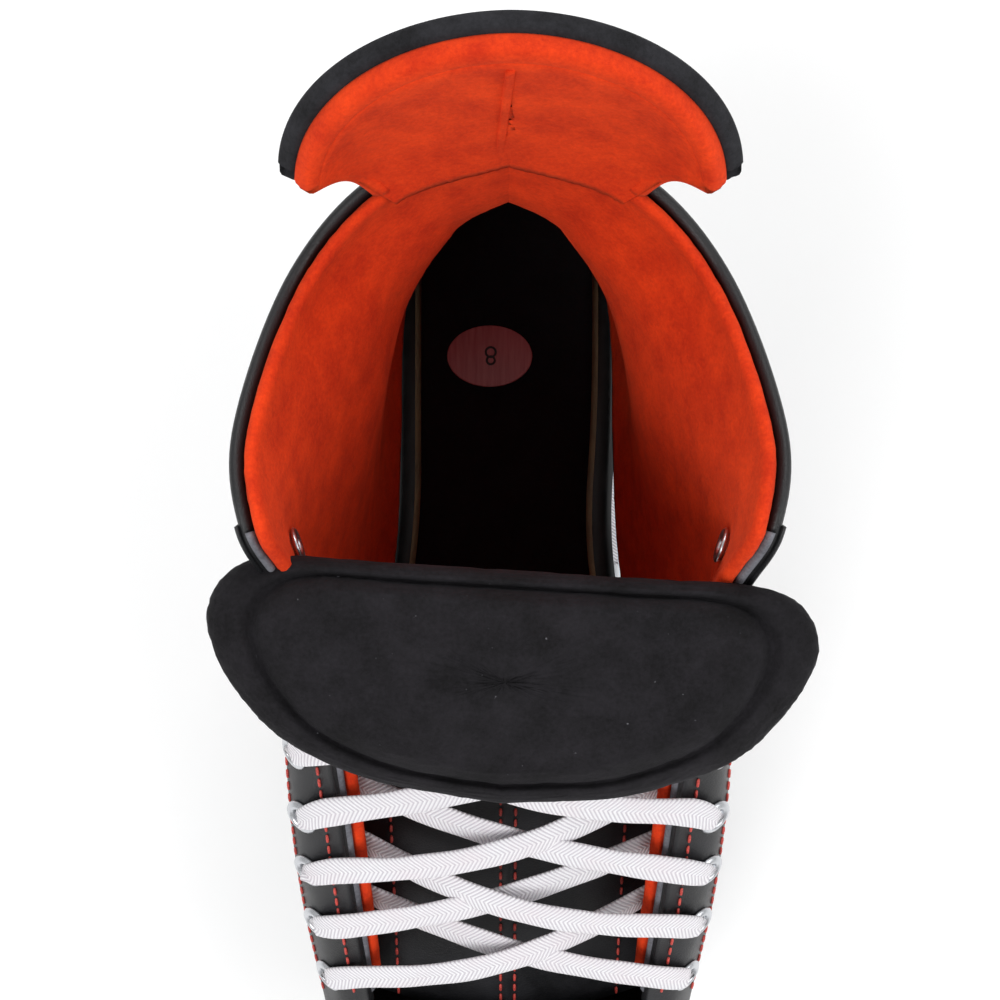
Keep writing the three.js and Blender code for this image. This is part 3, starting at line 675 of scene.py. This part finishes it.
def tonguePoint(t, across, drop=0.0):
    spine = curvePoints(tongueSpine, t)
    slope = unit(curvePoints(tongueSpine, np.minimum(np.asarray(t) + 0.01, 1))
                 - curvePoints(tongueSpine, np.maximum(np.asarray(t) - 0.01, 0)))
    out = np.stack([np.zeros(slope.shape[:-1]), -slope[..., 2], slope[..., 1]], axis=-1)
    bow = -9 * np.asarray(across) ** 2 * (1 - 0.95 * smoothStep(t, 0.35, 0.85)) - drop + 0.8 * np.exp(-(np.asarray(across) * 37 / 1.1) ** 2)
    x = np.asarray(across) * 37.0
    return spine + out * bow[..., None] + np.stack([x, 0 * x, 0 * x], axis=-1)


def makeTongue():
    ts = np.linspace(0, 1, 60)
    half = np.linspace(-1, 1, 71)
    upper = tonguePoint(*np.meshgrid(ts, half, indexing="ij"))
    lower = tonguePoint(*np.meshgrid(ts, half[::-1], indexing="ij"), drop=3.5)
    points, faces = tubeMesh(np.concatenate([upper, lower], axis=1))
    finishPiece("tongue_leather", points, faces, tongueLeather, "boot", ["tongue_lower"])
    lines = []
    for across in (-0.8, 0.8, -0.05, 0.05):
        path = tonguePoint(ts, np.full(len(ts), across), drop=-0.1)
        lines.append((path, np.tile([0, -0.5, 0.86], (len(ts), 1))))
    makeStitches("tongue_stitches", lines, "boot")


makeTongue()
print("tongue made")


# Folded flap of thick felt: a pillow section with a rolled front lip, a groove round the inner pad and soft waves.
flapSet = {"thick": 9.0, "turn": -3.6, "centre": (-1.0, -1.0)}

# Half outline of the flap from the fold's middle round to the front's middle: straight fold, widest near it.
flapHalfOutline = np.array([[0, 21], [28, 21], [48, 21], [58, 17.5], [62, 9.5], [60, 1], [55.5, -6.5], [48.5, -14],
                            [39, -19.5], [24, -24.5], [0, -27]], dtype=float)


def flapOutline(s):
    right = curvePoints(flapHalfOutline, np.linspace(0, 1, 91))
    left = right[::-1][1:-1] * np.array([-1, 1])
    ring = np.vstack([right, left])
    angle = math.radians(s["turn"])
    turnBy = np.array([[math.cos(angle), -math.sin(angle)], [math.sin(angle), math.cos(angle)]])
    return ring @ turnBy.T


def flapHeight(x, y):
    # Highest near the fold, falling to the front and sides, with slow waves of the felt.
    t = (21.0 - y) / 48.0
    swell = 3 * np.sin(math.pi * np.clip(t, 0, 1) * 0.9)
    waves = 0.9 * np.sin(x * 0.11 + 1) * np.sin(y * 0.17) + 0.5 * np.sin(x * 0.21 + y * 0.12)
    return 221 + swell - 13 * t**2 - 5 * (x / 62) ** 2 + waves


def makeFlap(s):
    ring = flapOutline(s)
    centre = np.array(s["centre"])
    levels = []
    fractions = np.concatenate([[0.02], np.linspace(0.08, 0.64, 12), np.linspace(0.67, 0.9, 16), np.linspace(0.91, 1, 12)])
    for side in (1, -1):
        for f in (fractions if side > 0 else fractions[::-1][1:]):
            xy = centre + (ring - centre) * f
            roundness = s["thick"] / 2 * max(0.0, 1 - (max(0.0, f - 0.86) / 0.14) ** 2.2) ** 0.5
            groove = 2.6 * math.exp(-((f - 0.84) / 0.022) ** 2) - 1.8 * (1 - float(smoothStep(f, 0.7, 0.84)))
            top = roundness - groove
            z = flapHeight(xy[:, 0], xy[:, 1]) - s["thick"] / 2 + (top if side > 0 else -roundness)
            levels.append(np.column_stack([xy, z]))
    points, faces = tubeMesh(np.array(levels))
    wobble = rng.normal(0, 1, (len(points), 3)) * 0.07
    piece = finishPiece("tongue_felt_flap", points + wobble, faces, felt, "tongue",
                        ["tongue_flap", "tongue_pad"])


makeFlap(flapSet)
print("flap made")


# Tendon guard: it stands on the collar's back edge and flares to its top corners.
def guardPoint(turn, v, depth):
    turn, v, depth = np.broadcast_arrays(np.asarray(turn, dtype=float), np.asarray(v, dtype=float),
                                         np.asarray(depth, dtype=float))
    side = np.where(turn < 0, -1.0, 1.0)
    at = 1 - 0.115 * np.abs(turn)
    foot = shellPoint(at, np.ones(at.shape)) - shellNormal(at, np.ones(at.shape)) * depth[..., None]
    foot = foot * np.stack([side, np.ones(at.shape), np.ones(at.shape)], axis=-1) + np.array([0, 0, 1.2])
    bend = turn * 1.45
    head = np.stack([(43 - depth * 0.8) * np.sin(bend) / math.sin(1.45),
                     116 - depth - (20 - depth * 0.4) * (1 - np.cos(bend)),
                     264 - 28 * np.abs(turn) ** 1.8], axis=-1)
    place = foot + (head - foot) * v[..., None]
    place[..., 1] += 4 * np.sin(math.pi * v) * np.abs(turn)
    return place


def guardLayer(outer, inner, low, high, columns=70, rows=24):
    turns = np.linspace(-1, 1, columns)[:, None]
    vs = np.linspace(low, high, rows)[None, :]
    front = guardPoint(turns, vs, outer)
    arc = np.linspace(0, math.pi, 7)[1:-1][None, :]
    rim = guardPoint(turns, high + 0.02 * np.sin(arc), (outer + inner) / 2 - (inner - outer) / 2 * np.cos(arc))
    back = guardPoint(turns, vs[:, ::-1], inner)
    return tubeMesh(np.concatenate([front, rim, back], axis=1))


def edgeTube(path, radius, flat=1.0):
    fine, _, _ = evenPath(path, 1.2)
    ups = np.tile([0.0, 0.25, 1.0], (len(fine), 1))
    return ribbonRings(fine, ups, radius * 2, radius * 2 * flat, 14)[0]


def makeGuard():
    points, faces = guardLayer(0, 3, 0, 0.985)
    finishPiece("guard_shell", points, faces, leather, "guard", ["tendon_guard"])
    points, faces = guardLayer(3.2, 8.0, 0, 0.97)
    wobble = rng.normal(0, 1, points.shape) * 0.06
    finishPiece("guard_felt_lining", points + wobble, faces, orangeFelt, "guard", ["tendon_guard_lining"])
    up = np.linspace(0.12, 1, 20)
    turns = np.linspace(-1, 1, 80)
    for name, depth, radius, material in (("guard_binding", 1.6, 2.3, rimFelt), ("guard_orange_rim", 5.6, 2.3, orangeFelt)):
        path = np.vstack([guardPoint(-1, up, depth), guardPoint(turns, 1.0, depth)[1:-1], guardPoint(1, up[::-1], depth)])
        points, faces = tubeMesh(edgeTube(path, radius))
        finishPiece(name, points, faces, material, "guard")
    lines = []
    for v in (0.86, 0.78):
        path = guardPoint(turns * 0.94, v, -0.2)
        lines.append((path, unit(path - np.array([0, 95, 240]))))
    makeStitches("guard_stitches", lines, "guard")
    seam = np.linspace(0.03, 0.93, 20)
    points, faces = tubeMesh(edgeTube(guardPoint(0.0, seam, 8.1), 0.9, 0.6))
    finishPiece("guard_rear_seam", points, faces, orangeFelt, "guard")


makeGuard()
print("guard made")


# Sole parts share the footprint: pinched at the arch on the medial side, with round toe and heel ends.
def baseHeight(y):
    return 73 + 6 * np.clip((np.asarray(y, dtype=float) + 96) / 194, 0, 1)


def footHalf(y, side):
    y = np.asarray(y, dtype=float)
    base = lerp(49, 33, smoothStep(y, -80, 50))
    arch = 3 * np.exp(-((y - 20) / 35) ** 2) if side > 0 else 0
    toe = np.sqrt(np.maximum(0, 1 - (np.maximum(0, -96 - y) / 53) ** 2.3))
    heel = np.sqrt(np.maximum(0, 1 - (np.maximum(0, y - 104) / 41) ** 2))
    return (base - arch) * toe * heel


def plateMesh(inset, top, thickness, low, high, crown=None, bevel=0.8):
    ys = low + (high - low) * (0.5 - 0.5 * np.cos(math.pi * np.linspace(0, 1, 90)))
    across = np.linspace(-1, 1, 25)
    rings = []
    for y in ys:
        left = -max(1.5, float(footHalf(y, -1)) - inset)
        right = max(1.5, float(footHalf(y, 1)) - inset)
        x = lerp(left, right, (across + 1) / 2)
        z = float(baseHeight(y)) + top + (crown(x, y, across) if crown else 0 * x)
        edge = np.clip((1 - np.abs(across)) / 0.04, 0, 1)
        upper = np.stack([x, np.full(25, y), z - bevel * (1 - edge)], axis=1)
        lower = np.stack([x[::-1], np.full(25, y), np.full(25, float(baseHeight(y)) + top - thickness)], axis=1)
        rings.append(np.vstack([upper, lower]))
    return tubeMesh(rings)


def footCrown(x, y, across):
    # The footbed cups up a little round its edge and dishes under the heel.
    return 0.9 * np.abs(across) ** 3 - 0.8 * math.exp(-((y - 95) / 30) ** 2) * (1 - across**2)


points, faces = plateMesh(0, -1.8, 5, -149, 143)
finishPiece("moulded_outsole", points, faces, blackPlastic, "boot", ["outsole"])
points, faces = plateMesh(8, 5.4, 3, -138, 134, footCrown)
finishPiece("knit_footbed", points, faces, footFelt, "boot", ["footbed"])
points, faces = plateMesh(6, 2, 2, -141, 136)
finishPiece("fibre_board", points, faces, fibreBoard, "boot", ["insole_board"])


# Size sticker: an oval of film with a plain figure eight printed on it.
def makeSticker():
    low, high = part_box("size_sticker")
    low, high = np.array(low) / mm, np.array(high) / mm
    centre = (low + high) / 2
    turn = np.linspace(0, 2 * math.pi, 48, endpoint=False)
    height = high[2] + 0.1
    rings = [[[centre[0] + r * 12.4 * math.cos(a), centre[1] + r * 9 * math.sin(a), z] for a in turn]
             for r, z in ((0.05, height - 0.6), (1, height - 0.6), (1, height - 0.05), (0.98, height), (0.05, height))]
    points, faces = tubeMesh(rings)
    finishPiece("film_sticker", points, faces, labelFilm, "boot", ["size_sticker"])
    for k, (offset, radius) in enumerate(((-1.25, 1.15), (1.15, 1.45))):
        ring = []
        for a in np.linspace(0, 2 * math.pi, 28, endpoint=False):
            c = np.array([centre[0] + 0.3 + radius * math.cos(a), centre[1] + offset + radius * math.sin(a), height + 0.06])
            out = np.array([math.cos(a), math.sin(a), 0])
            ring.append([c + out * 0.33 * math.cos(b) + np.array([0, 0, 0.1 * math.sin(b)])
                         for b in np.linspace(0, 2 * math.pi, 8, endpoint=False)])
        points, faces = tubeMesh(ring, closed=True)
        finishPiece(f"printed_eight_{k + 1}", points, faces, inkBlack, "boot")


makeSticker()


# Toe cap: half a dome with full sides, in hard nylon.
def makeToeCap():
    turns = np.linspace(0, math.pi, 80)[:, None]
    rise = np.linspace(0, math.pi / 2 * 0.99, 40)[None, :]

    def dome(inset, rise):
        flat = np.cos(rise) ** 0.6
        x = (50 - inset) * np.sign(np.cos(turns)) * np.abs(np.cos(turns)) ** 0.85 * flat
        y = -98 - (53 - inset) * np.sin(turns) ** 0.9 * flat
        z = 73 + (51 - inset) * np.sin(rise) ** 0.9 + 0 * turns
        return np.stack([x, y, z], axis=-1)

    rings = np.concatenate([dome(0, rise), dome(3, rise[:, ::-1])], axis=1)
    points, faces = tubeMesh(rings)
    finishPiece("nylon_toe_cap", points, faces, blackPlastic, "boot", ["toe_cap"])


def makeBackstay():
    turns = np.linspace(-1, 1, 60)[:, None]
    vs = np.linspace(0.04, 0.93, 50)[None, :]

    def sheetAt(depth, vs):
        u = 1 - 0.16 * np.abs(turns) * (1 - 0.3 * (vs - 0.04) / 0.89)
        p = shellPoint(u, vs + 0 * turns) - shellNormal(u, vs + 0 * turns) * depth
        p[..., 0] *= np.where(turns < 0, -1.0, 1.0)
        return p

    points, faces = tubeMesh(np.concatenate([sheetAt(-2.0, vs), sheetAt(0.4, vs[:, ::-1])], axis=1))
    finishPiece("nylon_backstay", points, faces, blackPlastic, "boot", ["heel_backstay"])


makeToeCap()
makeBackstay()
print("sole and caps made")


# CAD nodes whose shape is right keep it and take a better material.
for node, material in (("runner", steel), ("holder", whitePlastic), ("front_runner_bolt", turnedSteel),
                       ("front_runner_nut", turnedSteel), ("rear_runner_bolt", turnedSteel),
                       ("rear_runner_nut", turnedSteel)):
    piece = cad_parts[node]
    piece.data.materials.clear()
    piece.data.materials.append(material)


# Copper rivets hold the holder's flanges to the sole.
def makeRivets():
    turn = np.linspace(0, 2 * math.pi, 24, endpoint=False)
    points, faces, start = [], [], 0
    for ys, x in (((-118, -96, -72, -50), 26), ((70, 95, 120), 18)):
        for y in ys:
            for side in (1, -1):
                z = float(baseHeight(y)) - 9.2
                profile = ((0.3, -1.1), (2.2, -0.9), (3.2, -0.2), (3.4, 0.5), (3.0, 2.4), (0.3, 2.4))
                rings = [[[x * side + r * math.cos(a), y + r * math.sin(a), z + h] for a in turn] for r, h in profile]
                p, f = tubeMesh(rings)
                points.append(p)
                faces += [tuple(start + q for q in face) for face in f]
                start += len(p)
    finishPiece("sole_rivets", np.vstack(points), faces, copper, "boot")


makeRivets()


# Plain pale floor and soft studio light.
def makeStage():
    mesh = bpy.data.meshes.new("floor")
    mesh.from_pydata([(-3, -3, -0.0004), (3, -3, -0.0004), (3, 3, -0.0004), (-3, 3, -0.0004)], [], [(0, 1, 2, 3)])
    shader = Shader("white_paper_sweep")
    shader.finish(Base_Color=srgb("#FFFFFF"), Roughness=shader.spread(shader.noise(40, 2), 0, 1, 0.8, 0.95))
    mesh.materials.append(shader.material)
    floor = bpy.data.objects.new("floor", mesh)
    bpy.context.scene.collection.objects.link(floor)
    world = bpy.data.worlds.new("studio")
    bpy.context.scene.world = world
    world.use_nodes = True
    world.node_tree.nodes["Background"].inputs[0].default_value = (1, 1, 1, 1)
    world.node_tree.nodes["Background"].inputs[1].default_value = 0.55
    for name, place, power, size in (("key", (-0.6, -0.6, 1.2), 9, 0.7), ("fill", (0.9, -0.2, 1.0), 6, 0.9),
                                     ("back", (0.1, 1.0, 1.1), 6, 0.7)):
        light = bpy.data.lights.new(name, "AREA")
        light.energy = power
        light.size = size
        lamp = bpy.data.objects.new(name, light)
        lamp.location = place
        lamp.rotation_euler = (Vector((0, 0.02, 0.15)) - Vector(place)).to_track_quat("-Z", "Y").to_euler()
        bpy.context.scene.collection.objects.link(lamp)
    bpy.context.scene.view_settings.view_transform = "Standard"


makeStage()
